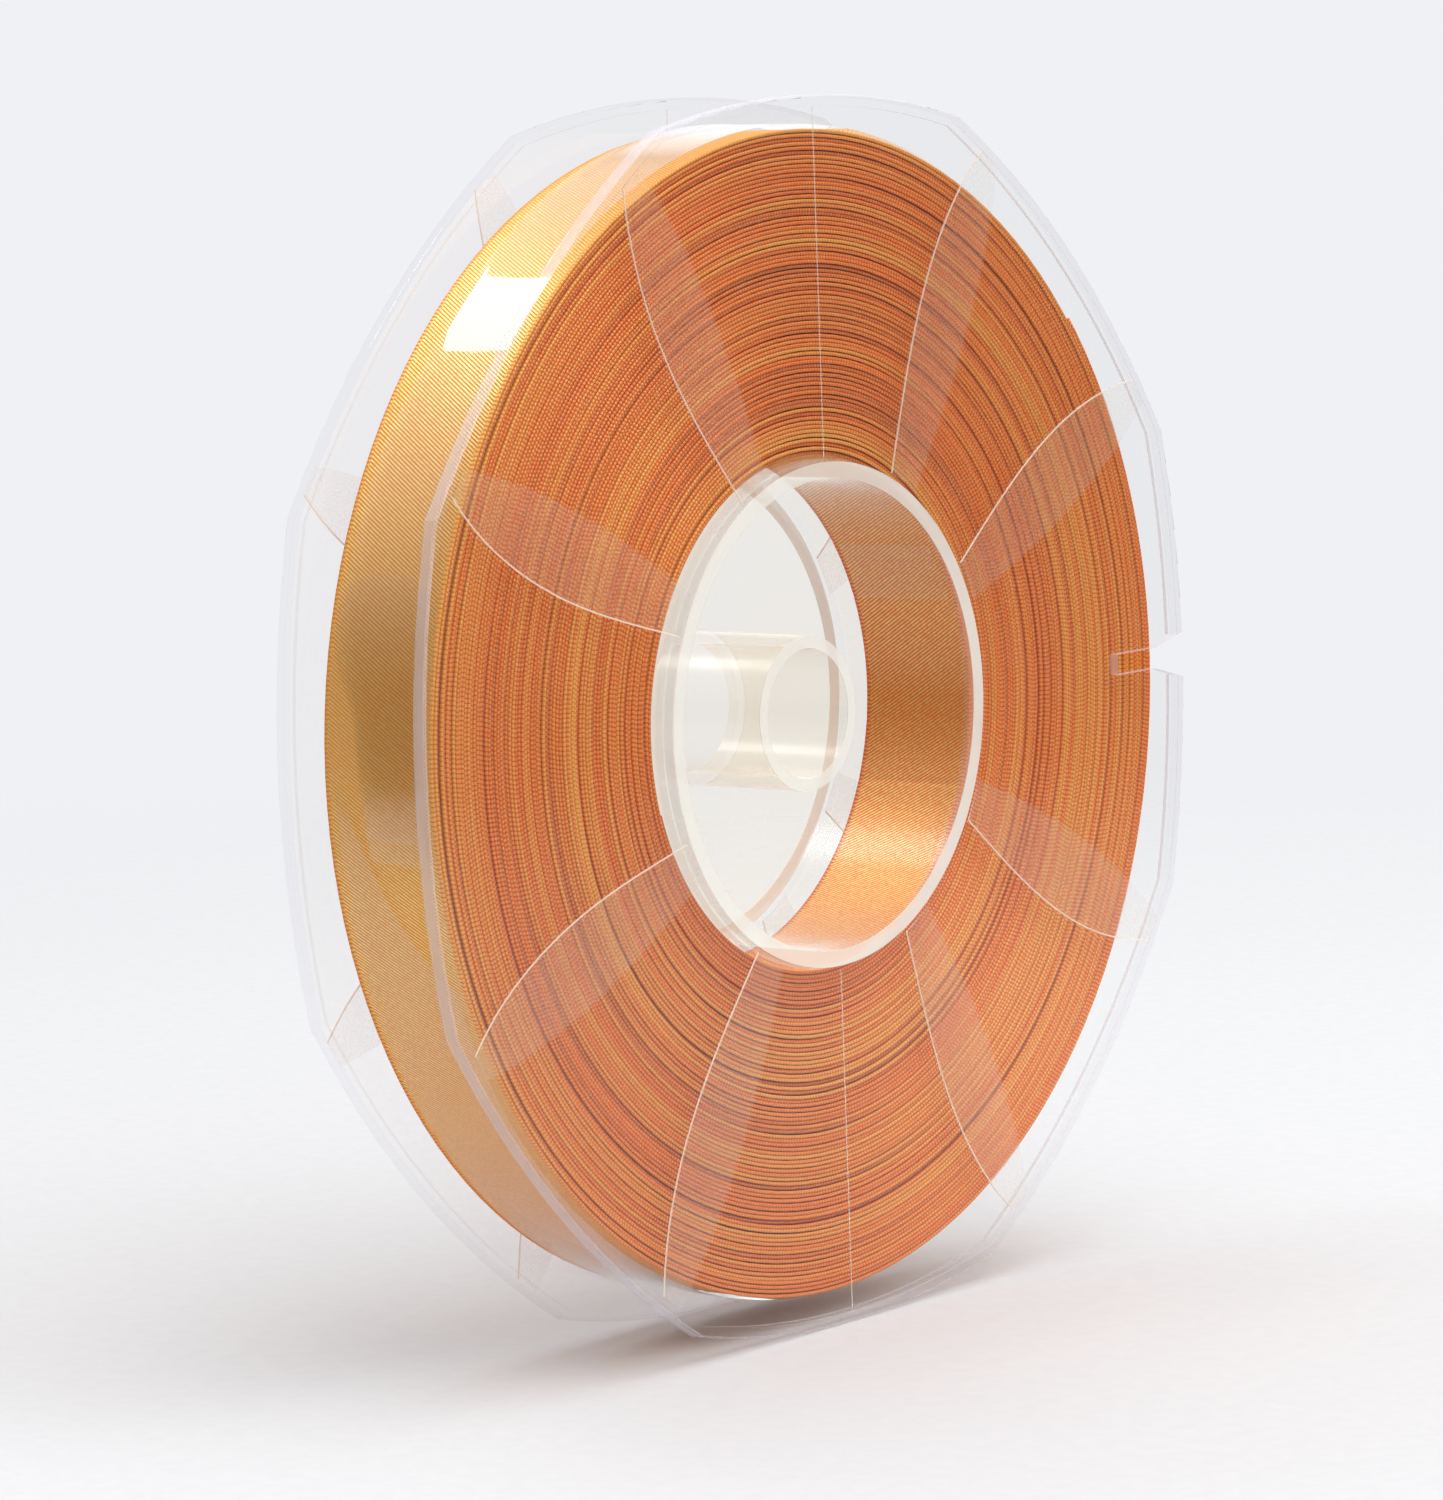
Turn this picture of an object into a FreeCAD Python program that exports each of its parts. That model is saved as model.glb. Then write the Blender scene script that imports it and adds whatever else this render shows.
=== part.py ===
"""Ribbon reel: a clear reel of two eight-sided flanges on a hub, wound with satin ribbon under a clear film.

Every piece is drawn in one drawing frame and then turned upright by its Placement.
Drawing frame: x to the right and y up as seen from the front, z along the axis towards the front.
Object frame: +X to the right, +Z up, the front at -Y, and the origin on the axis, halfway between the flanges.
"""
import FreeCAD, Part
import Sketcher
import math
import os

os.makedirs("parts", exist_ok=True)
doc = FreeCAD.newDocument("ribbon_reel")

# ---------------------------------------------------------------- driving dimensions (mm and degrees)
DIMENSIONS = [
    ("reel_width", 20.8),  # over the two rims
    ("corner_radius", 70.7),  # axis to a corner of the flange
    ("side_bulge", 3.2),  # how far the middle of a side stands outside the line between its corners
    ("plate_thickness", 1.2),
    ("rim_thickness", 1.8),
    ("rim_band", 1.2),  # radial width of the thickened rim
    ("rim_proud", 0.15),  # the rim's outer face stands this far outside the plate's
    ("rim_round", 0.35),  # rounding of the rim's outer edges
    ("drum_radius", 28.4),  # surface that the ribbon is wound on
    ("spigot_radius", 28.1),  # each end of the drum, where a flange is pressed on
    ("hub_bore_radius", 26.3),
    ("spigot_gap", 0.02),  # radial gap between a spigot and its flange
    ("web_thickness", 1.2),
    ("tube_bore_radius", 7.3),
    ("tube_wall", 1.4),
    ("tube_recess", 3.5),  # the spindle tube stops this far inside the front rim
    ("slot_width", 2.45),
    ("slot_start", 55.2),  # axis to the closed end of the ribbon slot
    ("slot_flare_start", 63.0),
    ("slot_mouth_width", 6.6),
    ("ribbon_width", 15.0),
    ("ribbon_shift", 0.55),  # the winding sits this far in front of the middle
    ("ribbon_inner_radius", 28.52),
    ("ribbon_outer_radius", 65.2),  # at the ribbon's outer end
    ("ribbon_pitch", 0.48),  # one turn of ribbon
    ("ribbon_end_angle", 39.0),
    ("film_gap", 0.12),
    ("film_thickness", 0.1),
    ("film_width", 12.6),
    ("tab_start_angle", 160.5),
    ("tab_sweep", 27.5),
    ("tab_corner", 4.0),
    ("tape_start_angle", 21.0),
    ("tape_sweep", 15.0),
    ("tape_width", 13.0),
    ("tape_thickness", 0.06),
]

sheet = doc.addObject("Spreadsheet::Sheet", "dimensions")
for row, (alias, value) in enumerate(DIMENSIONS, start=1):
    sheet.set(f"A{row}", alias)
    sheet.set(f"B{row}", str(value))
    sheet.setAlias(f"B{row}", alias)
doc.recompute()

SIDES = 8
UPRIGHT = FreeCAD.Placement(FreeCAD.Vector(0, 0, 0), FreeCAD.Rotation(FreeCAD.Vector(1, 0, 0), 90))

# Expressions that several pieces share
HALF = "dimensions.reel_width / 2"
PLATE_FACE = f"({HALF} - dimensions.rim_proud)"  # outer face of a plate, from the middle
PLATE_BACK = f"({PLATE_FACE} - dimensions.plate_thickness)"  # inner face of a plate, from the middle
CHORD = "(dimensions.corner_radius * sin(22.5))"  # half the line between two corners
SIDE_MIDDLE = "(dimensions.corner_radius * cos(22.5) + dimensions.side_bulge)"
SIDE_ARC = f"(({CHORD} ^ 2 + dimensions.side_bulge ^ 2) / (2 * dimensions.side_bulge))"


# ---------------------------------------------------------------- small builders
def bind(thing, **formulas):
    """Binds properties to formulas; a double underscore in a key stands for a dot."""
    for key, formula in formulas.items():
        thing.setExpression(key.replace("__", "."), formula)
    return thing


def cylinder(name, radius, height, low, across="0", up="0"):
    """A round bar along z from low, centred at (across, up)."""
    bar = doc.addObject("Part::Cylinder", name)
    bind(bar, Radius=radius, Height=height)
    return bind(bar, Placement__Base__x=across, Placement__Base__y=up, Placement__Base__z=low)


def cut(name, base, tool):
    made = doc.addObject("Part::Cut", name)
    made.Base = base
    made.Tool = tool
    return made


def fuse(name, shapes):
    made = doc.addObject("Part::MultiFuse", name)
    made.Shapes = shapes
    made.Refine = True
    return made


def common(name, shapes):
    made = doc.addObject("Part::MultiCommon", name)
    made.Shapes = shapes
    return made


def ring(name, outer, inner, height, low):
    """A round tube; its bore tool runs 1 mm past both ends."""
    body = cylinder(f"{name}_outside", outer, height, low)
    bore = cylinder(f"{name}_inside", inner, f"{height} + 2", f"{low} - 1")
    return cut(name, body, bore)


def eight_sided(name, inset, height, low):
    """The flange's outline: where eight large discs overlap, one for each bulged side."""
    discs = []
    for side in range(SIDES):
        angle = side * 360 / SIDES
        away = f"({SIDE_MIDDLE} - {SIDE_ARC})"
        disc = cylinder(
            f"{name}_side_{side + 1}",
            f"{SIDE_ARC} - {inset}",
            height,
            low,
            f"{away} * cos({angle})",
            f"{away} * sin({angle})",
        )
        discs.append(disc)
    return common(name, discs)


def rim_edges(shape, heights):
    """Numbers of the outline's edges that lie flat at one of the given heights, on the outermost wall."""
    reach = sheet.corner_radius * math.cos(math.radians(22.5))
    found = []
    for number, edge in enumerate(shape.Edges, start=1):
        box = edge.BoundBox
        middle = edge.valueAt((edge.FirstParameter + edge.LastParameter) / 2)
        flat = any(abs(box.ZMin - z) < 1e-4 and abs(box.ZMax - z) < 1e-4 for z in heights)
        if flat and math.hypot(middle.x, middle.y) > reach:
            found.append(number)
    return found


def flange(name, toward_front):
    """Plate and thickened rim with a bore that fits the hub's spigot."""
    plate_low = f"{PLATE_BACK}" if toward_front else f"-{PLATE_FACE}"
    rim_low = f"{HALF} - dimensions.rim_thickness" if toward_front else f"-{HALF}"
    plate = eight_sided(f"{name}_plate", "dimensions.rim_band / 2", "dimensions.plate_thickness", plate_low)
    rim_outside = eight_sided(f"{name}_rim_outside", "0", "dimensions.rim_thickness", rim_low)
    doc.recompute()
    low, high = rim_outside.Shape.BoundBox.ZMin, rim_outside.Shape.BoundBox.ZMax
    rounded = doc.addObject("Part::Fillet", f"{name}_rim_rounded")
    rounded.Base = rim_outside
    rounded.Edges = [(n, sheet.rim_round, sheet.rim_round) for n in rim_edges(rim_outside.Shape, (low, high))]
    rim_inside = eight_sided(
        f"{name}_rim_inside", "dimensions.rim_band", "dimensions.rim_thickness + 2", f"{rim_low} - 1"
    )
    rim = cut(f"{name}_rim", rounded, rim_inside)
    solid = fuse(f"{name}_blank", [plate, rim])
    bore = cylinder(
        f"{name}_bore",
        "dimensions.spigot_radius + dimensions.spigot_gap",
        "dimensions.reel_width",
        "0" if toward_front else "-dimensions.reel_width",
    )
    return cut(f"{name}_bored", solid, bore)


def slot_tool():
    """The ribbon slot at the right of the front flange: straight, then flared out to the rim."""
    sketch = doc.addObject("Sketcher::SketchObject", "slot_outline")
    start, flare, end = sheet.slot_start, sheet.slot_flare_start, sheet.corner_radius
    half, mouth = sheet.slot_width / 2, sheet.slot_mouth_width / 2
    corners = [(start, half), (flare, half), (end, mouth), (end, -mouth), (flare, -half), (start, -half)]
    count = len(corners)
    for i, (x, y) in enumerate(corners):
        x2, y2 = corners[(i + 1) % count]
        sketch.addGeometry(Part.LineSegment(FreeCAD.Vector(x, y, 0), FreeCAD.Vector(x2, y2, 0)))
    for i in range(count):
        sketch.addConstraint(Sketcher.Constraint("Coincident", i, 2, (i + 1) % count, 1))
    rows = ("slot_start", "slot_flare_start", "corner_radius", "corner_radius", "slot_flare_start", "slot_start")
    halves = ("slot_width", "slot_width", "slot_mouth_width")
    for i, (x, y) in enumerate(corners):
        across = sketch.addConstraint(Sketcher.Constraint("DistanceX", -1, 1, i, 1, x))
        sketch.setExpression(f"Constraints[{across}]", f"dimensions.{rows[i]}")
        if y > 0:
            up = sketch.addConstraint(Sketcher.Constraint("DistanceY", -1, 1, i, 1, y))
        else:
            up = sketch.addConstraint(Sketcher.Constraint("DistanceY", i, 1, -1, 1, -y))
        sketch.setExpression(f"Constraints[{up}]", f"dimensions.{halves[min(i, count - 1 - i)]} / 2")
    tool = doc.addObject("Part::Extrusion", "slot_tool")
    tool.Base = sketch
    tool.DirMode = "Custom"
    tool.Dir = FreeCAD.Vector(0, 0, 1)
    tool.Solid = True
    return bind(tool, LengthFwd="dimensions.reel_width")


def front_flange():
    return cut("front_flange", flange("front", True), slot_tool())


def rear_flange():
    return flange("rear", False)


def hub():
    """Drum with a spigot at each end, a web flush with the rear plate, and the tube for a spindle."""
    drum = cylinder("drum_outside", "dimensions.drum_radius", f"2 * {PLATE_BACK}", f"-{PLATE_BACK}")
    spigots = cylinder("spigots", "dimensions.spigot_radius", "dimensions.reel_width", f"-{HALF}")
    solid = fuse("drum_blank", [drum, spigots])
    hollow = cylinder(
        "drum_hollow",
        "dimensions.hub_bore_radius",
        "dimensions.reel_width",
        f"-{PLATE_FACE} + dimensions.web_thickness",
    )
    behind = cylinder("web_recess", "dimensions.hub_bore_radius", "1", f"-{PLATE_FACE} - 1")
    walled = cut("drum_open", cut("drum_open_front", solid, hollow), behind)
    tube = cylinder(
        "tube_outside",
        "dimensions.tube_bore_radius + dimensions.tube_wall",
        f"{HALF} - dimensions.tube_recess + {PLATE_FACE}",
        f"-{PLATE_FACE}",
    )
    bore = cylinder("tube_bore", "dimensions.tube_bore_radius", "2 * dimensions.reel_width", "-dimensions.reel_width")
    return cut("hub", fuse("hub_blank", [walled, tube]), bore)


def ribbon_roll():
    """The winding. Its outside shrinks by one turn's thickness over one turn, clockwise from the ribbon's end,
    as four quarter discs whose centres step round a small square."""
    quarters = []
    across, up = [], []
    for i in range(4):
        angle = f"(dimensions.ribbon_end_angle - {90 * i})"
        if i == 0:
            across.append(f"-dimensions.ribbon_pitch / 8 * (cos({angle} - 90) - cos({angle}))")
            up.append(f"-dimensions.ribbon_pitch / 8 * (sin({angle} - 90) - sin({angle}))")
        else:
            across.append(f"{across[-1]} + dimensions.ribbon_pitch / 4 * cos{angle}")
            up.append(f"{up[-1]} + dimensions.ribbon_pitch / 4 * sin{angle}")
        quarter = cylinder(
            f"winding_quarter_{i + 1}",
            f"dimensions.ribbon_outer_radius - dimensions.ribbon_pitch * {i} / 4",
            "dimensions.ribbon_width",
            "dimensions.ribbon_shift - dimensions.ribbon_width / 2",
            across[-1],
            up[-1],
        )
        quarter.Angle = 90
        quarter.Placement.Rotation = FreeCAD.Rotation(FreeCAD.Vector(0, 0, 1), 0)
        bind(quarter, Placement__Rotation__Angle=f"mod({angle} - 90 + 720; 360)")
        quarters.append(quarter)
    core = cylinder("winding_core", "dimensions.ribbon_inner_radius", "3 * dimensions.ribbon_width",
                    "-1.5 * dimensions.ribbon_width")
    return cut("ribbon_roll", fuse("winding", quarters), core)


def film_wrap():
    inner = "dimensions.ribbon_outer_radius + dimensions.film_gap"
    low = "dimensions.ribbon_shift - dimensions.film_width / 2"
    return ring("film_wrap", f"{inner} + dimensions.film_thickness", inner, "dimensions.film_width", low)


def arc_strip(name, inner, thick, width, start, sweep):
    """Part of a thin round band, from the angle start over the angle sweep."""
    low = f"dimensions.ribbon_shift - {width} / 2"
    body = cylinder(f"{name}_outside", f"{inner} + {thick}", width, low)
    bind(body, Angle=sweep)
    if start != "0":
        body.Placement.Rotation = FreeCAD.Rotation(FreeCAD.Vector(0, 0, 1), 1)
        bind(body, Placement__Rotation__Angle=start)
    bore = cylinder(f"{name}_inside", inner, f"{width} + 2", f"{low} - 1")
    return cut(name, body, bore)


def film_tab():
    """The film's free end, lying on the wrap, drawn with its round-cornered tip at angle 0."""
    inner = "(dimensions.ribbon_outer_radius + 2 * dimensions.film_gap + dimensions.film_thickness)"
    blank = arc_strip(
        "tab_blank", inner, "dimensions.film_thickness", "dimensions.film_width", "0", "dimensions.tab_sweep"
    )
    straight = "(dimensions.film_width / 2 - dimensions.tab_corner)"  # middle line to a corner arc's centre
    trimmed = blank
    for name, side in (("upper", 1), ("lower", -1)):
        square = doc.addObject("Part::Box", f"tab_{name}_corner")
        bind(square, Length="4", Width="dimensions.tab_corner + 1", Height="dimensions.tab_corner + 1")
        low = f"{straight}" if side > 0 else f"-{straight} - dimensions.tab_corner - 1"
        bind(square, Placement__Base__x=f"{inner} - 2", Placement__Base__y="-1")
        bind(square, Placement__Base__z=f"dimensions.ribbon_shift + {low}")
        arc = doc.addObject("Part::Cylinder", f"tab_{name}_arc")
        arc.Placement.Rotation = FreeCAD.Rotation(FreeCAD.Vector(0, 1, 0), 90)
        bind(arc, Radius="dimensions.tab_corner", Height="6")
        bind(arc, Placement__Base__x=f"{inner} - 3", Placement__Base__y="dimensions.tab_corner")
        bind(arc, Placement__Base__z=f"dimensions.ribbon_shift + {side} * {straight}")
        trimmed = cut(f"tab_{name}_trim", trimmed, cut(f"tab_{name}_waste", square, arc))
    return trimmed


def start_tape():
    return arc_strip(
        "start_tape", "(dimensions.drum_radius + 0.03)", "dimensions.tape_thickness", "dimensions.tape_width",
        "dimensions.tape_start_angle", "dimensions.tape_sweep",
    )


# ---------------------------------------------------------------- make, check and write the pieces
PIECES = {
    "front_flange": front_flange,
    "rear_flange": rear_flange,
    "hub": hub,
    "ribbon_roll": ribbon_roll,
    "film_wrap": film_wrap,
    "film_tab": film_tab,
    "start_tape": start_tape,
}

TURNED = {
    "film_tab": UPRIGHT * FreeCAD.Placement(
        FreeCAD.Vector(0, 0, 0), FreeCAD.Rotation(FreeCAD.Vector(0, 0, 1), sheet.tab_start_angle)
    ),
}

nodes = []
for label, build in PIECES.items():
    node = build()
    node.Label = label
    node.Placement = TURNED.get(label, UPRIGHT)
    nodes.append(node)
doc.recompute()

for thing in doc.Objects:
    if "Invalid" in thing.State or "Error" in thing.State:
        raise RuntimeError(f"{thing.Label} is {thing.State}")
for node in nodes:
    if node.Shape.isNull() or not node.Shape.isValid() or not node.Shape.Solids:
        raise RuntimeError(f"{node.Label} has no valid solid")
for node in nodes:
    box = node.Shape.BoundBox
    print(
        f"{node.Label}: {len(node.Shape.Solids)} solid, {node.Shape.Volume:.1f} mm3,"
        f" x {box.XMin:.2f}..{box.XMax:.2f}, y {box.YMin:.2f}..{box.YMax:.2f}, z {box.ZMin:.2f}..{box.ZMax:.2f}"
    )
    node.Shape.exportStep(f"parts/{node.Label}.step")
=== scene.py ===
"""A reel of satin ribbon: ribbon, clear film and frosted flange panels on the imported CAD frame.

Everything is in metres: +X to the right, +Z up, the front at -Y, and the origin on the reel's axis.
An angle is measured about that axis from +X towards +Z, as seen from the front.
"""

import math

import bpy
from mathutils import Matrix, Vector, noise


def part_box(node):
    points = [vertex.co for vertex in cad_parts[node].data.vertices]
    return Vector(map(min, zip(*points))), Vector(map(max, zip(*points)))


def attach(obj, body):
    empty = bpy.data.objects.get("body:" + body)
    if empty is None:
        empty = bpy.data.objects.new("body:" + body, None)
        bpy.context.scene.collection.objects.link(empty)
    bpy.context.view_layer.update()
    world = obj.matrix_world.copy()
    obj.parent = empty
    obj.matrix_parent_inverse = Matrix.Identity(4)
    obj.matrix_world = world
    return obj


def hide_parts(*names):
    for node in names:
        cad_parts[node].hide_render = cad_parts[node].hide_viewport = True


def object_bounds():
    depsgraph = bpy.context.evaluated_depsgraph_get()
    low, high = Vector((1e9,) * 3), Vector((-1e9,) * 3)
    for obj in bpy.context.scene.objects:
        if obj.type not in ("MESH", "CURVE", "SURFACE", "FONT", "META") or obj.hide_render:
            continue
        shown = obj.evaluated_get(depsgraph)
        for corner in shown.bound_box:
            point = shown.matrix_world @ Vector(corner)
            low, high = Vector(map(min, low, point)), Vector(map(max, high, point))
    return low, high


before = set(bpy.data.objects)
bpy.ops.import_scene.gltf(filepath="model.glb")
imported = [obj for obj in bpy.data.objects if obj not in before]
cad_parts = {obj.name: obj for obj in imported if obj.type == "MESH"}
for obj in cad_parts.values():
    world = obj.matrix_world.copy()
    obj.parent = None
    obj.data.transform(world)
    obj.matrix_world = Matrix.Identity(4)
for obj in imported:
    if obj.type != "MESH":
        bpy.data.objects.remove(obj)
CAD_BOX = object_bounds()

# ---------------------------------------------------------------- sizes, from the frame where it has them
MM = 0.001
FRONT_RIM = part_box("front_flange")[0].y
REAR_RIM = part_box("rear_flange")[1].y
RIM_PROUD = 0.15 * MM  # the rims stand this far outside the plates
RIM_BAND = 1.2 * MM
RIM_THICKNESS = 1.8 * MM
PLATE_THICKNESS = 1.2 * MM
PLATE_FACE = REAR_RIM - RIM_PROUD  # the outer face's distance from the reel's middle
FLANGE_FACES = (REAR_RIM - RIM_THICKNESS, PLATE_FACE - PLATE_THICKNESS, PLATE_FACE, REAR_RIM)
DRUM_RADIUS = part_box("hub")[1].x
TUBE_OUTSIDE = 8.7 * MM
TUBE_FRONT = FRONT_RIM + 3.5 * MM
CORNER_RADIUS = 70.7 * MM
SIDE_BULGE = 3.2 * MM
SIDE_COUNT = 8
FLOOR = CAD_BOX[0].z

RIBBON_WIDTH = 15.0 * MM
RIBBON_MIDDLE = (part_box("ribbon_roll")[0].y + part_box("ribbon_roll")[1].y) / 2
RIBBON_PITCH = 0.48 * MM
RIBBON_OUTSIDE = 65.2 * MM
RIBBON_END_ANGLE = 39.0
SELVEDGE_HALF = 0.205 * MM  # half the thickness of the ribbon's corded edges
CLOTH_HALF = 0.13 * MM  # half the thickness between them
FACET_SAG = 0.02 * MM  # how far a straight step of the winding may cut inside its curve
FILM_THICKNESS = 0.04 * MM
WRAP_RADIUS = 65.34 * MM  # of the film's outside where it starts
TAB_RADIUS = 65.56 * MM
FILM_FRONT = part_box("film_wrap")[0].y
BEAD_WIDTH = 0.15 * MM
PANEL_ANGLES = (31.1, 64.9, 121.0, 157.0)  # of the crisp edge where it leaves the hub, above the axis


# ---------------------------------------------------------------- small helpers
def on_reel(angle, radius, y):
    """The point at an angle in degrees and a radius about the reel's axis."""
    turn = math.radians(angle)
    return Vector((radius * math.cos(turn), y, radius * math.sin(turn)))


def flange_edge(angle, inset=0.0):
    """The eight-sided outline's radius at an angle; each side is an arc about a centre of its own."""
    half_side = CORNER_RADIUS * math.sin(math.pi / SIDE_COUNT)
    side_middle = CORNER_RADIUS * math.cos(math.pi / SIDE_COUNT) + SIDE_BULGE
    arc = (half_side**2 + SIDE_BULGE**2) / (2 * SIDE_BULGE)
    centre = side_middle - arc
    step = 360 / SIDE_COUNT
    off = math.radians((angle + step / 2) % step - step / 2)
    return centre * math.cos(off) + math.sqrt((arc - inset) ** 2 - (centre * math.sin(off)) ** 2)


def between(x, points):
    """A smooth curve through (x, value) points, eased from each one to the next."""
    if x <= points[0][0]:
        return points[0][1]
    for (x0, v0), (x1, v1) in zip(points, points[1:]):
        if x <= x1:
            share = (x - x0) / (x1 - x0)
            return v0 + (v1 - v0) * share * share * (3 - 2 * share)
    return points[-1][1]


def mesh_piece(name, points, faces, material, body, crisp=False):
    """A smooth-shaded mesh object that rides on a CAD body; crisp keeps its corners sharp."""
    mesh = bpy.data.meshes.new(name)
    mesh.from_pydata(points, [], faces)
    mesh.polygons.foreach_set("use_smooth", [True] * len(mesh.polygons))
    mesh.materials.append(material)
    mesh.update()
    if crisp:
        mesh.set_sharp_from_angle(angle=math.radians(40))
    piece = bpy.data.objects.new(name, mesh)
    bpy.context.scene.collection.objects.link(piece)
    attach(piece, body)
    return piece


def paint(piece, name, values):
    """Stores one number for each point under a name that the materials read."""
    piece.data.attributes.new(name, "FLOAT", "POINT").data.foreach_set("value", values)


def swept(points, size):
    """The faces of a capped tube through rings of size points each."""
    faces = []
    for ring in range(len(points) // size - 1):
        for k in range(size):
            a, b = ring * size + k, ring * size + (k + 1) % size
            faces.append((a, b, b + size, a + size))
    faces.append(tuple(range(size - 1, -1, -1)))
    faces.append(tuple(range(len(points) - size, len(points))))
    return faces


def shell(rows, thickness_of):
    """A closed thin shell: rows of points outside, and the same points less thickness_of(point) inside."""
    high, wide = len(rows), len(rows[0])
    outside = [point for row in rows for point in row]
    inside = [point - thickness_of(point) for point in outside]
    count = high * wide
    faces = []
    for i in range(high - 1):
        for j in range(wide - 1):
            a, b = i * wide + j, (i + 1) * wide + j
            faces.append((a, a + 1, b + 1, b))
            faces.append((a + count, b + count, b + 1 + count, a + 1 + count))
    border = list(range(wide))
    border += [i * wide + wide - 1 for i in range(1, high)]
    border += [(high - 1) * wide + j for j in range(wide - 2, -1, -1)]
    border += [i * wide for i in range(high - 2, 0, -1)]
    for a, b in zip(border, border[1:] + border[:1]):
        faces.append((a, a + count, b + count, b))
    return outside + inside, faces


class Shader:
    """The node tree of a material or a world, with short calls that add a node and wire its inputs."""

    def __init__(self, name, is_world=False):
        self.owner = bpy.data.worlds.new(name) if is_world else bpy.data.materials.new(name)
        self.owner.use_nodes = True
        self.tree = self.owner.node_tree
        self.tree.nodes.clear()
        output = "ShaderNodeOutputWorld" if is_world else "ShaderNodeOutputMaterial"
        self.output = self.tree.nodes.new(output)

    def put(self, socket, value):
        if isinstance(value, bpy.types.NodeSocket):
            self.tree.links.new(value, socket)
        else:
            socket.default_value = value

    def add(self, kind, inputs=None, **settings):
        node = self.tree.nodes.new(kind)
        for key, value in settings.items():
            setattr(node, key, value)
        for key, value in (inputs or {}).items():
            self.put(node.inputs[key], value)
        return node

    def place(self):
        """The point's coordinates in its object."""
        return self.add("ShaderNodeTexCoord").outputs["Object"]

    def split(self, vector):
        return self.add("ShaderNodeSeparateXYZ", {0: vector}).outputs

    def length(self, vector):
        return self.add("ShaderNodeVectorMath", {0: vector}, operation="LENGTH").outputs["Value"]

    def outward(self):
        """1 on faces that turn their outside to the ray, and 0 on the others."""
        backfacing = self.add("ShaderNodeNewGeometry").outputs["Backfacing"]
        return self.math("SUBTRACT", 1.0, backfacing)

    def clear(self, tint):
        return self.add("ShaderNodeBsdfTransparent", {"Color": tint}).outputs[0]

    def matt(self, colour):
        return self.add("ShaderNodeBsdfDiffuse", {"Color": colour}).outputs[0]

    def math(self, operation, first, second=0.0, clamp=False):
        node = self.add("ShaderNodeMath", {0: first, 1: second}, operation=operation, use_clamp=clamp)
        return node.outputs[0]

    def spread(self, value, low, high, to_low=0.0, to_high=1.0):
        """value from low to high, smoothly mapped onto to_low to to_high."""
        inputs = {"Value": value, "From Min": low, "From Max": high, "To Min": to_low, "To Max": to_high}
        return self.add("ShaderNodeMapRange", inputs, interpolation_type="SMOOTHSTEP").outputs[0]

    def noise(self, scale, detail=2.0, roughness=0.5):
        inputs = {"Vector": self.place(), "Scale": scale, "Detail": detail, "Roughness": roughness}
        return self.add("ShaderNodeTexNoise", inputs).outputs[0]

    def attribute(self, name):
        return self.add("ShaderNodeAttribute", attribute_name=name).outputs["Fac"]

    def blend(self, share, first, second):
        """first where share is 0 and second where it is 1, as a colour."""
        node = self.add("ShaderNodeMix", data_type="RGBA")
        for index, value in ((0, share), (6, first), (7, second)):
            self.put(node.inputs[index], value)
        return node.outputs[2]

    def bump(self, height, strength, distance):
        inputs = {"Height": height, "Strength": strength, "Distance": distance}
        return self.add("ShaderNodeBump", inputs).outputs[0]

    def mix(self, share, first, second):
        return self.add("ShaderNodeMixShader", {0: share, 1: first, 2: second}).outputs[0]

    def finish(self, surface):
        self.tree.links.new(surface, self.output.inputs["Surface"])
        return self.owner


# ---------------------------------------------------------------- materials
def let_light_through(shader, solid, tint):
    """Rough glass for the eye, and clear to the rays that light what is behind it."""
    path = shader.add("ShaderNodeLightPath").outputs
    seen = shader.math("ADD", path["Is Camera Ray"], path["Is Transmission Ray"], clamp=True)
    return shader.mix(seen, shader.clear(tint), solid)


def see_through(shader, tint, ior, roughness, normal):
    """A clear sheet or thin wall that mirrors more at a glancing angle; its outer face mirrors for both."""
    two_faces = 1.9
    gloss = {"Color": (1, 1, 1, 1), "Roughness": roughness, "Normal": normal}
    gloss = shader.add("ShaderNodeBsdfGlossy", gloss).outputs[0]
    mirrored = shader.add("ShaderNodeFresnel", {"IOR": ior, "Normal": normal}).outputs[0]
    outer_face = shader.math("MULTIPLY", shader.outward(), two_faces)
    mirrored = shader.math("MULTIPLY", mirrored, outer_face, clamp=True)
    return shader.mix(mirrored, shader.clear(tint), gloss)


def moulded_clear(shader, tint, roughness, veil):
    """Injection-moulded clear plastic: faintly wavy and scratched, with an even veil of the given share."""
    wave = shader.bump(shader.noise(55.0, 3.0, 0.5), 0.02, 0.4 * MM)
    clear = see_through(shader, tint, 1.25, roughness, wave)
    scratches = shader.spread(shader.noise(900.0, 2.0, 0.6), 0.45, 0.75)
    cloud = shader.spread(shader.noise(38.0, 4.0, 0.6), 0.35, 0.75)
    haze = shader.math("MULTIPLY", shader.math("MULTIPLY", scratches, cloud), 0.02)
    return shader.mix(shader.math("ADD", haze, veil), clear, shader.matt((0.93, 0.88, 0.82, 1)))


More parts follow.
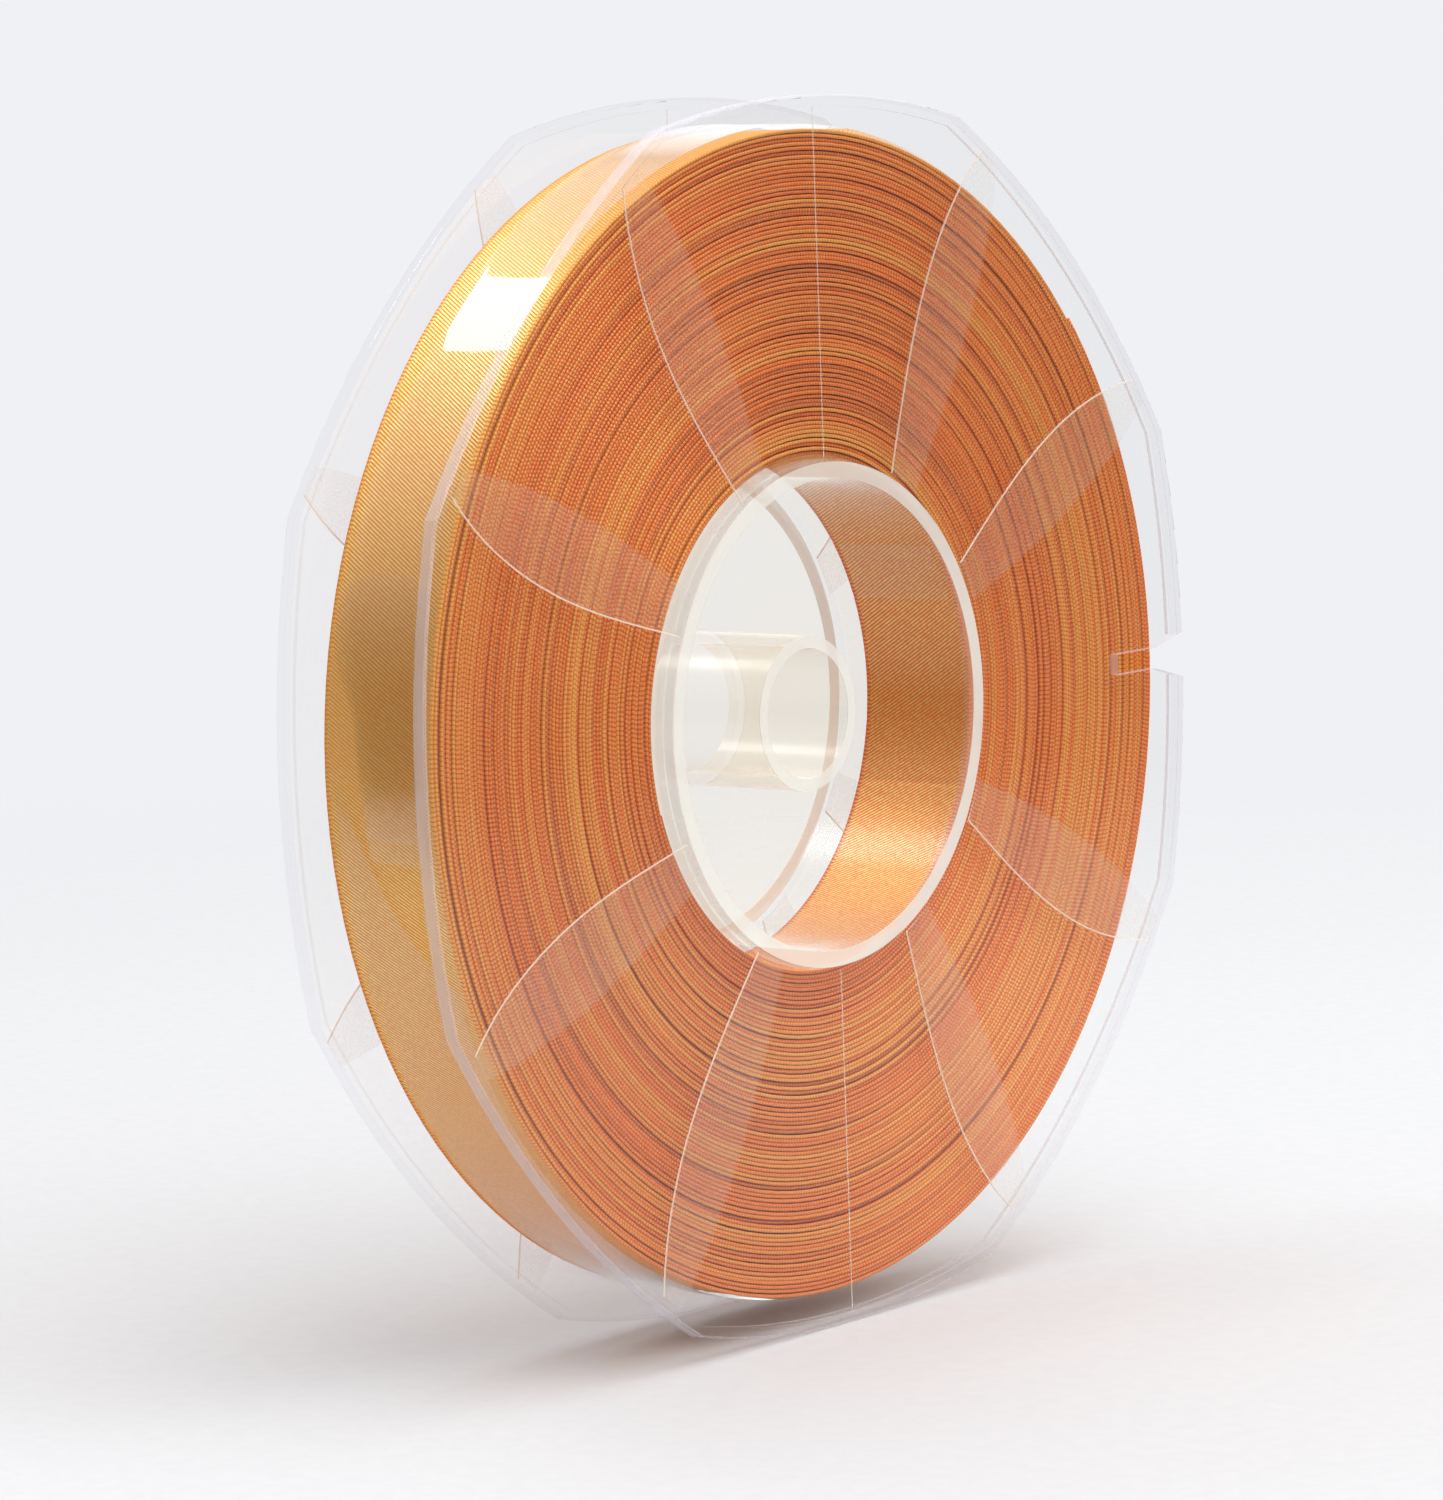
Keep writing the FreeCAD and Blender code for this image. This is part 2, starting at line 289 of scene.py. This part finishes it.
def flange_plastic(name, glow):
    """Clear plates with side walls painted faintly lilac: a painted glow standing in for light bent through
    the clear rims; glow is how much light the walls scatter outwards.
    """
    shader = Shader(name)
    plate = moulded_clear(shader, (0.99, 0.99, 0.99, 1), 0.03, 0.008)
    place = shader.split(shader.place())
    depth = shader.math("ABSOLUTE", place["Y"])
    side_wall = 1.0
    for flat_face in FLANGE_FACES:
        from_face = shader.math("ABSOLUTE", shader.math("SUBTRACT", depth, flat_face))
        off_face = shader.spread(from_face, 0.01 * MM, 0.03 * MM)
        side_wall = shader.math("MULTIPLY", side_wall, off_face)
    # Painted glow: outward walls and the slot's cut walls get a pale lilac matt share and the rest a lilac
    # tint, in place of light bent through the rims.
    cloud = shader.spread(shader.noise(60.0, 3.0, 0.6), 0.3, 0.7, 0.8 * glow, glow)
    beside_slot = shader.spread(shader.math("ABSOLUTE", place["Z"]), 2.2 * MM, 2.6 * MM, 1.0, 0.0)
    slot_reach = shader.spread(place["X"], 0.76 * CORNER_RADIUS, 0.77 * CORNER_RADIUS)
    cut_wall = shader.math("MULTIPLY", beside_slot, slot_reach)
    painted_glow_share = shader.math("MULTIPLY", cloud, shader.math("MAXIMUM", shader.outward(), cut_wall))
    wall = shader.mix(painted_glow_share, shader.clear((0.95, 0.945, 0.96, 1)), shader.matt((0.82, 0.79, 0.85, 1)))
    return shader.finish(shader.mix(side_wall, plate, wall))


def hub_plastic(name):
    """Clear drum and tube: their cream-coloured ends and the slight whitening of walls seen edge-on are
    painted glow, standing in for light carried along the clear walls.
    """
    shader = Shader(name)
    wall = moulded_clear(shader, (0.994, 0.985, 0.955, 1), 0.22, 0.0)
    place = shader.place()
    y = shader.split(place)["Y"]
    across = shader.add("ShaderNodeVectorMath", {0: place, 1: (1, 0, 1)}, operation="MULTIPLY").outputs[0]
    from_axis = shader.length(across)

    at_end = shader.spread(shader.math("ABSOLUTE", y), REAR_RIM - 0.12 * MM, REAR_RIM - 0.03 * MM)
    in_drum = shader.spread(from_axis, 0.9 * DRUM_RADIUS, 0.92 * DRUM_RADIUS)
    drum_end = shader.math("MULTIPLY", at_end, in_drum)
    outside = shader.spread(from_axis, 0.975 * DRUM_RADIUS, 0.985 * DRUM_RADIUS)
    near_front = shader.spread(y, FRONT_RIM + 2.0 * MM, FRONT_RIM + 3.2 * MM, 1.0, 0.0)
    outside = shader.math("MULTIPLY", outside, near_front)
    in_tube = shader.spread(from_axis, TUBE_OUTSIDE + 0.1 * MM, TUBE_OUTSIDE + 0.6 * MM, 1.0, 0.0)
    tube_end = shader.spread(y, TUBE_FRONT + 0.03 * MM, TUBE_FRONT + 0.12 * MM, 1.0, 0.0)
    edge_on = shader.add("ShaderNodeLayerWeight", {"Blend": 0.35}).outputs["Facing"]
    tube = shader.math("MULTIPLY", in_tube, shader.spread(edge_on, 0.2, 1.0, 0.05, 0.34))

    # Painted glow: a cream matt share at the drum's ends, on its outside near the front, at the tube's
    # front end and on the tube's walls, most where seen edge-on.
    painted_hub_glow = shader.math("MAXIMUM", drum_end, shader.math("MULTIPLY", outside, 0.4))
    painted_hub_glow = shader.math("MAXIMUM", painted_hub_glow, shader.math("MULTIPLY", in_tube, tube_end))
    cloud = shader.spread(shader.noise(55.0, 3.0), 0.3, 0.7, 0.58, 0.70)
    painted_hub_glow = shader.math("MAXIMUM", shader.math("MULTIPLY", painted_hub_glow, cloud), tube)
    cream = {"Base Color": (0.94, 0.92, 0.85, 1), "Roughness": 0.35}
    cream = shader.add("ShaderNodeBsdfPrincipled", cream).outputs[0]
    return shader.finish(shader.mix(painted_hub_glow, wall, cream))


def frosted_plastic(name):
    """The sand-blasted panels of the flanges: they blur what is behind and sparkle with fine grain."""
    shader = Shader(name)
    grain = shader.noise(4200.0, 2.0, 0.6)
    rough = shader.spread(shader.noise(60.0, 3.0), 0.3, 0.7, 0.10, 0.15)
    glass = {
        "Base Color": (0.99, 0.985, 0.98, 1),
        "Roughness": rough,
        "IOR": 1.16,
        "Transmission Weight": 1.0,
        "Normal": shader.bump(grain, 0.25, 0.05 * MM),
    }
    glass = shader.add("ShaderNodeBsdfPrincipled", glass).outputs[0]
    sparkle = shader.spread(grain, 0.40, 0.75, 0.02, 0.09)
    sparkle = shader.math("MAXIMUM", sparkle, shader.math("MULTIPLY", shader.attribute("bead"), 0.45))
    glass = let_light_through(shader, glass, (0.97, 0.965, 0.96, 1))
    return shader.finish(shader.mix(sparkle, glass, shader.matt((0.99, 0.86, 0.72, 1))))


def satin(name):
    """Woven satin: bright golden threads over copper ones, corded stitches along both selvedges."""
    shader = Shader(name)
    along, across, tone_and_shade = (shader.attribute(word) for word in ("along", "across", "tone_and_shade"))
    edge = shader.spread(shader.math("ABSOLUTE", across), 0.90, 0.96)

    stitch_spacing, twill_spacing = 0.5 * MM, 0.42 * MM
    pick = shader.math("MULTIPLY", along, 1 / stitch_spacing)
    slant = shader.math("FRACT", shader.math("ADD", pick, shader.math("MULTIPLY", tone_and_shade, 7.0)))
    stitch = shader.math("SINE", shader.math("MULTIPLY", slant, math.pi))

    twill_phase = shader.math("MULTIPLY", along, 1 / twill_spacing)
    twill_phase = shader.math("ADD", twill_phase, shader.math("MULTIPLY", across, 11.0))
    twill = shader.math("SINE", shader.math("MULTIPLY", shader.math("FRACT", twill_phase), math.pi))

    weave = shader.add("ShaderNodeMix", {0: edge, 2: twill, 3: stitch}, data_type="FLOAT").outputs[0]
    fibres = shader.noise(2600.0, 2.0, 0.6)
    height = shader.math("ADD", weave, shader.math("MULTIPLY", fibres, 0.4))
    normal = shader.bump(height, 0.45, 0.07 * MM)

    # The deep red is the ribbon's darker colour and also its painted shade.
    copper, deep_red_and_shade = (0.84, 0.135, 0.007, 1), (0.60, 0.080, 0.006, 1)
    orange, gold = (0.90, 0.34, 0.050, 1), (0.94, 0.77, 0.32, 1)
    colour = shader.blend(shader.spread(tone_and_shade, 0.42, 0.85), copper, orange)
    # Low tone goes to deep red: the ribbon's darker turns and the painted shade of turns that sit back.
    colour = shader.blend(shader.spread(tone_and_shade, 0.34, 0.10), colour, deep_red_and_shade)
    # Painted shade: the weave's valleys are darkened towards the deep red.
    valley_shade = shader.spread(weave, 0.55, 0.15)
    colour = shader.blend(shader.math("MULTIPLY", valley_shade, 0.55), colour, deep_red_and_shade)
    bright_fibres = shader.spread(fibres, 0.35, 0.65, 0.50, 0.92)
    shine = shader.math("MULTIPLY", shader.spread(weave, 0.42, 0.83), bright_fibres)
    duller_edge = shader.math("SUBTRACT", 1.0, shader.math("MULTIPLY", edge, 0.58))
    shine = shader.math("MULTIPLY", shine, duller_edge)
    colour = shader.blend(shine, colour, gold)

    cloth = {
        "Base Color": colour,
        "Metallic": shine,
        "Roughness": shader.spread(fibres, 0.3, 0.7, 0.34, 0.46),
        "Specular IOR Level": 0.3,
        "Specular Tint": (1.0, 0.75, 0.38, 1),
        "Normal": normal,
    }
    return shader.finish(shader.add("ShaderNodeBsdfPrincipled", cloth).outputs[0])


def film(name, wrinkles):
    """Thin glossy film: it mirrors the lights and lets nearly everything through."""
    shader = Shader(name)
    creases = shader.bump(shader.noise(45.0, 3.0, 0.45), wrinkles, 1.0 * MM)
    roughness = shader.spread(shader.noise(300.0, 2.0), 0.35, 0.7, 0.015, 0.06)
    return shader.finish(see_through(shader, (0.99, 0.985, 0.97, 1), 1.38, roughness, creases))


def floor_paint(name, fade_start, fade_end):
    """White paper that fades out into the pale surroundings."""
    shader = Shader(name)
    fade = shader.spread(shader.length(shader.place()), fade_start, fade_end)
    grain = shader.spread(shader.noise(420.0, 4.0, 0.6), 0.3, 0.7)
    paper = shader.matt(shader.blend(grain, (0.64, 0.645, 0.66, 1), (0.66, 0.665, 0.68, 1)))
    return shader.finish(shader.mix(fade, paper, shader.clear((1, 1, 1, 1))))


# ---------------------------------------------------------------- the ribbon
def wander(turn_angle, turns, reach, drift, seed):
    """Smooth noise about -1 to 1 that changes along a turn by reach and from turn to turn by drift."""
    place = (reach * math.cos(turn_angle), reach * math.sin(turn_angle), turns * drift + seed)
    return noise.noise(Vector(place)) * 1.6


def ribbon_stations(turn_count):
    """How many turns have gone by at each step along the ribbon; the first turn has short steps."""
    first_turn_step = 0.5 / 360
    turns, stations = 0.0, []
    while turns < turn_count:
        stations.append(turns)
        radius = DRUM_RADIUS + RIBBON_PITCH * turns
        step = math.sqrt(8 * FACET_SAG / radius) / (2 * math.pi)
        turns += first_turn_step if turns < 1 else step
    return stations + [turn_count]


def make_ribbon(material):
    """One long strip wound in a spiral, a little unevenly, with a corded selvedge along each side."""
    inside = DRUM_RADIUS + 0.12 * MM + SELVEDGE_HALF
    turn_count = (RIBBON_OUTSIDE - SELVEDGE_HALF - inside) / RIBBON_PITCH
    half = RIBBON_WIDTH / 2
    bead, cord = 0.10 * MM, 0.45 * MM
    section = [
        (-half, 0.0),
        (-half + bead, SELVEDGE_HALF),
        (-half + cord, CLOTH_HALF),
        (half - cord, CLOTH_HALF),
        (half - bead, SELVEDGE_HALF),
        (half, 0.0),
        (half - bead, -SELVEDGE_HALF),
        (half - cord, -CLOTH_HALF),
        (-half + cord, -CLOTH_HALF),
        (-half + bead, -SELVEDGE_HALF),
    ]
    crease_angles, crease_width = (36.0, 21.0, -8.5, -22.5), 0.7  # degrees
    points, along, across, shade_and_tone_list = [], [], [], []
    length, last = 0.0, None
    for turns in ribbon_stations(turn_count):
        angle = RIBBON_END_ANGLE - (turn_count - turns) * 360
        turn_angle = math.radians(angle)
        radius = inside + RIBBON_PITCH * turns
        radius += 0.06 * MM * wander(turn_angle, turns, 0.8, 1.3, 5.0) * min(1, turn_count - turns)
        if turns < 1:
            for crease in crease_angles:
                off = ((angle - crease + 180) % 360 - 180) / crease_width
                radius += 0.05 * MM * math.exp(-off * off)
        uneven = wander(turn_angle, turns, 0.6, 1.9, 11.0)
        set_back = max(0.0, wander(turn_angle, turns, 0.25, 0.97, 31.0) - 0.06)
        shift = 0.05 * MM * uneven + 0.10 * MM * wander(turn_angle, turns, 0.4, 0.31, 23.0)
        shift += 0.33 * MM * set_back
        # Turns that sit back get a lower tone: painted shade for the gaps between turns, on top of the
        # random tone.
        tone_and_shade = 0.58 + 0.26 * wander(turn_angle, turns, 0.4, 0.9, 41.0) - 0.76 * set_back
        tone_and_shade += 0.16 * wander(turn_angle, turns, 0.4, 0.12, 53.0)
        middle = on_reel(angle, radius, 0)
        if last is not None:
            length += (middle - last).length
        last = middle
        for y, lift in section:
            points.append(on_reel(angle, radius + lift, RIBBON_MIDDLE + shift + y))
            along.append(length)
            across.append(y / half)
            shade_and_tone_list.append(tone_and_shade)
    faces = swept(points, len(section))
    ribbon = mesh_piece("wound_satin_ribbon", points, faces, material, "reel")
    paint(ribbon, "along", along)
    paint(ribbon, "across", across)
    paint(ribbon, "tone_and_shade", shade_and_tone_list)
    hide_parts("ribbon_roll")


# ---------------------------------------------------------------- the film
def radially(thickness):
    """Moves a point towards the axis by a thickness."""
    return lambda point: Vector((point.x, 0, point.z)).normalized() * thickness


def make_film_wrap(material):
    """One strip of film round the winding, cut on the slant where it starts and tucked in where it ends."""
    rear_edge = [
        (180, 5.0),
        (205, 5.3),
        (400, 5.2),
        (470, 4.3),
        (497, 3.5),
        (512, 4.8),
        (526, 4.9),
        (536, 1.6),
        (546, 0.6),
    ]
    slant_start, slant_sweep, end = 200.0, 19.6, 546.0
    lengthwise, crosswise = 260, 16
    rows = []
    for i in range(lengthwise + 1):
        row = []
        for j in range(crosswise + 1):
            share = j / crosswise
            start = slant_start - slant_sweep * share**1.4
            angle = start + (end - start) * i / lengthwise
            rear = between(angle, rear_edge) * MM
            y = FILM_FRONT + (rear - FILM_FRONT) * share
            turn_angle = math.radians(angle)
            radius = WRAP_RADIUS + 0.08 * MM * (angle - slant_start) / 360
            radius += 0.004 * MM * wander(turn_angle, 6 * share, 1.4, 0.4, 71.0)
            radius += 0.10 * MM * max(0, share - 0.93) / 0.07
            row.append(on_reel(angle, radius, y))
        rows.append(row)
    points, faces = shell(rows, radially(FILM_THICKNESS))
    wrap = mesh_piece("clear_film_wrap", points, faces, material, "reel", crisp=True)
    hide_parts("film_wrap")


def make_film_tab(material):
    """The film's free end: round corners, and a rear edge that runs in slantwise."""
    tip, root, corner = 161.3, 188.0, 4.4 * MM
    rear_edge = [(tip, 5.65), (167.5, 5.5), (176, 2.05), (184, 1.15), (root, 0.9)]
    lengthwise, crosswise = 60, 24
    rows = []
    for i in range(lengthwise + 1):
        share_along = (i / lengthwise) ** 1.5
        angle = tip + (root - tip) * share_along
        run = max(math.radians(angle - tip) * TAB_RADIUS, 0.02 * MM)
        trim = 0.0
        if run < corner:
            trim = corner - math.sqrt(corner**2 - (corner - run) ** 2)
        rear = between(angle, rear_edge) * MM - trim
        front = FILM_FRONT + trim
        settle = 0.09 * MM * max(0.0, 1 - (root - angle) / 3)
        row = []
        for j in range(crosswise + 1):
            y = front + (rear - front) * j / crosswise
            row.append(on_reel(angle, TAB_RADIUS - settle, y))
        rows.append(row)
    points, faces = shell(rows, radially(FILM_THICKNESS))
    tab = mesh_piece("clear_film_end", points, faces, material, "film_end", crisp=True)
    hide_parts("film_tab")


# ---------------------------------------------------------------- the flanges' panels and mould lines
def plate_face(front):
    """Which way along Y the outside of a flange faces, and where its plate's outer face lies."""
    side = -1 if front else 1
    return side, (FRONT_RIM if front else REAR_RIM) - side * RIM_PROUD


def make_panel(name, base_angle, mirrored, front, material):
    """A frosted panel from the hub to the rim: a bead along one edge, and a slope down to the other."""
    lengthwise, crosswise = 40, 8
    crisp_height, slope_height, soft_height, gap = 0.12 * MM, 0.08 * MM, 0.008 * MM, 0.01 * MM
    hub_end = DRUM_RADIUS + 0.3 * MM
    side, plate = plate_face(front)
    rows = []
    for i in range(lengthwise + 1):
        share = i / lengthwise
        crisp = base_angle - 1.9 * share + 13.7 * share * (1 - share)
        soft = base_angle - 10 + 5.2 * share**2
        rim_end = flange_edge(crisp, RIM_BAND) - 0.1 * MM
        bead_turn = math.degrees(BEAD_WIDTH / (hub_end + (rim_end - hub_end) * share))
        bead_foot = crisp - 1.3 * bead_turn
        stops = [(crisp, crisp_height), (crisp - bead_turn, crisp_height), (bead_foot, slope_height)]
        for j in range(1, crosswise + 1):
            across = j / crosswise
            angle = bead_foot + (soft - bead_foot) * across
            stops.append((angle, slope_height + (soft_height - slope_height) * across))
        row = []
        for angle, height in stops:
            rim_end = flange_edge(angle, RIM_BAND) - 0.1 * MM
            radius = hub_end + (rim_end - hub_end) * share
            y = plate + side * (gap + height)
            row.append(on_reel(-angle if mirrored else angle, radius, y))
        rows.append(row)
    if mirrored == front:
        rows.reverse()

    def down_to_plate(point):
        return Vector((0, point.y - (plate + side * gap), 0))

    points, faces = shell(rows, down_to_plate)
    panel = mesh_piece(name, points, faces, material, "reel")
    panel.data.polygons.foreach_set("use_smooth", [False] * len(panel.data.polygons))
    row_length = crosswise + 3
    paint(panel, "bead", [1.0 if k % row_length < 2 else 0.0 for k in range(len(points))])


def make_mould_line(name, angle, front, material):
    """A fine raised line where two halves of the mould met."""
    side, plate = plate_face(front)
    half_width, height, foot = 0.07 * MM, 0.06 * MM, 0.01 * MM
    steps = 24
    start, end = DRUM_RADIUS + 0.2 * MM, flange_edge(angle, RIM_BAND) - 0.05 * MM
    along = on_reel(angle, 1, 0)
    beside = Vector((-along.z, 0, along.x))
    profile = [(-half_width, foot), (-half_width / 2, height), (half_width / 2, height), (half_width, foot)]
    points = []
    for i in range(steps + 1):
        base = along * (start + (end - start) * i / steps)
        for off, up in profile:
            points.append(base + beside * off + Vector((0, plate + side * up, 0)))
    line = mesh_piece(name, points, swept(points, len(profile)), material, "reel")
    paint(line, "bead", [0.9] * len(points))


# ---------------------------------------------------------------- stage, lights and camera
def make_floor():
    """A round sheet of white paper."""
    radius, steps = 1.6, 96
    points = [(0, 0, 0)]
    for k in range(steps):
        turn = k * math.tau / steps
        points.append((radius * math.cos(turn), radius * math.sin(turn), 0))
    faces = [(0, 1 + k, 1 + (k + 1) % steps) for k in range(steps)]
    mesh = bpy.data.meshes.new("paper_floor")
    mesh.from_pydata(points, [], faces)
    mesh.materials.append(floor_paint("white_paper", 0.22, 0.6))
    floor = bpy.data.objects.new("paper_floor", mesh)
    floor.location.z = FLOOR
    bpy.context.scene.collection.objects.link(floor)


def soft_light(name, place, aim, width, height, radiance, gloss_only=False):
    """A rectangular lamp at a place, facing another; gloss_only keeps its light off matt surfaces."""
    lamp = bpy.data.lights.new(name, "AREA")
    lamp.shape = "RECTANGLE"
    lamp.size, lamp.size_y = width, height
    lamp.energy = radiance * math.pi * width * height
    light = bpy.data.objects.new(name, lamp)
    light.location = place
    light.visible_diffuse = not gloss_only
    light.rotation_euler = (Vector(place) - Vector(aim)).to_track_quat("Z", "Y").to_euler()
    bpy.context.scene.collection.objects.link(light)


def make_surroundings():
    """Pale and even to the eye; as light, bright above and behind the reel and dimmer before it."""
    sky = Shader("studio", is_world=True)
    direction = sky.add("ShaderNodeTexCoord").outputs["Generated"]
    backwards = {0: direction, 1: (0.78, 0.62, 0.0)}
    backwards = sky.add("ShaderNodeVectorMath", backwards, operation="DOT_PRODUCT").outputs["Value"]
    backdrop = sky.spread(backwards, 0.80, 0.94)
    overhead = sky.spread(sky.split(direction)["Z"], 0.05, 0.75)
    bright = sky.math("MAXIMUM", overhead, backdrop)
    light = sky.blend(bright, (0.06, 0.06, 0.06, 1), (1.14, 1.14, 1.14, 1))
    path = sky.add("ShaderNodeLightPath").outputs
    unmirrored = sky.math("LESS_THAN", path["Glossy Depth"], 0.5)
    through_glass = sky.math("MULTIPLY", path["Is Transmission Ray"], unmirrored)
    seen = sky.math("ADD", path["Is Camera Ray"], through_glass, clamp=True)
    colour = sky.blend(seen, light, (0.871, 0.879, 0.905, 1))
    bpy.context.scene.world = sky.finish(sky.add("ShaderNodeBackground", {"Color": colour}).outputs[0])


def make_camera():
    """A long lens from the front left, a little above the reel, held slightly rolled."""
    lens = bpy.data.cameras.new("camera")
    lens.sensor_fit = "HORIZONTAL"
    lens.sensor_width = 36.0
    lens.lens = 159.49
    lens.clip_start = 0.01
    camera = bpy.data.objects.new("camera", lens)
    yaw, pitch, roll = (math.radians(value) for value in (-51.18, 90 - 6.53, -2.041))
    aim = Matrix.Rotation(yaw, 4, "Z") @ Matrix.Rotation(pitch, 4, "X") @ Matrix.Rotation(roll, 4, "Z")
    camera.matrix_world = Matrix.Translation((-0.55707, -0.44253, 0.07722)) @ aim
    bpy.context.scene.collection.objects.link(camera)
    bpy.context.scene.camera = camera


# ---------------------------------------------------------------- the scene
def dress(node, material):
    """Gives a CAD node's object one material."""
    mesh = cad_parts[node].data
    mesh.materials.clear()
    mesh.materials.append(material)


# The front flange's walls carry the painted glow; the rear flange's walls get none.
front_clear = flange_plastic("clear_flange_plastic", 0.40)
rear_clear = flange_plastic("clear_rear_flange_plastic", 0.0)
hub_clear = hub_plastic("clear_hub_plastic")
frost = frosted_plastic("frosted_panel")
satin_cloth = satin("copper_satin")
wrap_film = film("glossy_film", 0.004)
tape_film = film("thin_tape", 0.05)

dress("front_flange", front_clear)
dress("rear_flange", rear_clear)
dress("hub", hub_clear)
dress("start_tape", tape_film)

make_ribbon(satin_cloth)
make_film_wrap(wrap_film)
make_film_tab(wrap_film)

for face, front in (("front", True), ("rear", False)):
    for number, panel_angle in enumerate(PANEL_ANGLES, start=1):
        make_panel(f"{face}_panel_upper_{number}", panel_angle, False, front, frost)
        make_panel(f"{face}_panel_lower_{number}", panel_angle, True, front, frost)
    for place, line_angle in (("top", 90), ("bottom", -90)):
        make_mould_line(f"{face}_mould_line_{place}", line_angle, front, frost)

make_floor()
make_surroundings()
lamp_aim, lamp_size = (-0.045, 0, 0.045), (0.072, 0.085)
soft_light("lamp_behind", (-0.049, 0.175, 0.225), lamp_aim, *lamp_size, 3.0)
soft_light("lamp_behind_glint", (-0.049, 0.1752, 0.2252), lamp_aim, *lamp_size, 4.2, gloss_only=True)
soft_light("front_softbox", (0.0, -0.88, 1.12), (0, 0, 0), 1.7, 1.7, 1.7)
soft_light("top_softbox", (0.1, 0.1, 1.2), (0, 0, 0), 1.0, 1.0, 0.5)
make_camera()

scene = bpy.context.scene
scene.view_settings.view_transform = "Standard"
scene.cycles.max_bounces = 20
scene.cycles.glossy_bounces = 20
scene.cycles.transmission_bounces = 20
scene.cycles.transparent_max_bounces = 24
